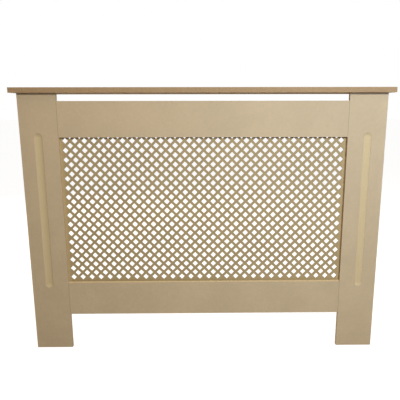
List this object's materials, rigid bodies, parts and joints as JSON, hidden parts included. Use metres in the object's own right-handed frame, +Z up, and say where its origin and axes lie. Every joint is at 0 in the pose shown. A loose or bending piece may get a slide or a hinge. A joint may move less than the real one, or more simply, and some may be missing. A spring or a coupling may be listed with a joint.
{
  "type": "radiator cover cabinet",
  "caption": "Free-standing radiator cover of raw MDF: shelf on fluted front legs, two rails round a sheet perforated with diamonds, open heat slot and floor gap.",
  "frame": {"origin": "on the floor, in the middle of the shelf's outline", "axes": "+X to the right of someone facing the cover, +Y back to the wall, +Z up"},
  "size_m": [1.115, 0.19, 0.815],
  "materials": {
    "mdf_front": "raw MDF, matte",
    "mdf_shelf": "raw MDF, matte",
    "mdf_side": "raw MDF, matte",
    "hardboard": "thin raw MDF, matte",
    "softwood": "planed softwood",
    "beech": "fluted beech",
    "zinc_steel": "zinc plated",
    "zinc_casting": "bare zinc casting",
    "staple_wire": "galvanised wire"
  },
  "bodies": {
    "cabinet": {"top_shelf": "mdf_shelf", "left_front_leg": "mdf_front", "right_front_leg": "mdf_front", "top_rail": "mdf_front", "bottom_rail": "mdf_front", "grille_panel": "hardboard", "left_side_panel": "mdf_side", "right_side_panel": "mdf_side", "left_corner_batten": "softwood", "right_corner_batten": "softwood", "rail_dowels": "beech", "leg_dowels": "beech", "shelf_dowels": "beech", "cam_bolts": "zinc_steel", "corner_screws": "zinc_steel", "bracket_screws": "zinc_steel", "grille_staples": "staple_wire", "left_wall_bracket": "zinc_steel", "right_wall_bracket": "zinc_steel"},
    "left_front_cam": {"left_front_cam": "zinc_casting"},
    "left_rear_cam": {"left_rear_cam": "zinc_casting"},
    "right_front_cam": {"right_front_cam": "zinc_casting"},
    "right_rear_cam": {"right_rear_cam": "zinc_casting"}
  },
  "joints": [
    {"name": "left_front_cam_turn", "type": "hinge", "parent": "cabinet", "child": "left_front_cam", "pos_m": [-0.525, -0.03525, 0.776], "axis": [1, 0, 0], "range_deg": [0, 180]},
    {"name": "left_rear_cam_turn", "type": "hinge", "parent": "cabinet", "child": "left_rear_cam", "pos_m": [-0.525, 0.06475, 0.776], "axis": [1, 0, 0], "range_deg": [0, 180]},
    {"name": "right_front_cam_turn", "type": "hinge", "parent": "cabinet", "child": "right_front_cam", "pos_m": [0.525, -0.03525, 0.776], "axis": [-1, 0, 0], "range_deg": [0, 180]},
    {"name": "right_rear_cam_turn", "type": "hinge", "parent": "cabinet", "child": "right_rear_cam", "pos_m": [0.525, 0.06475, 0.776], "axis": [-1, 0, 0], "range_deg": [0, 180]}
  ]
}
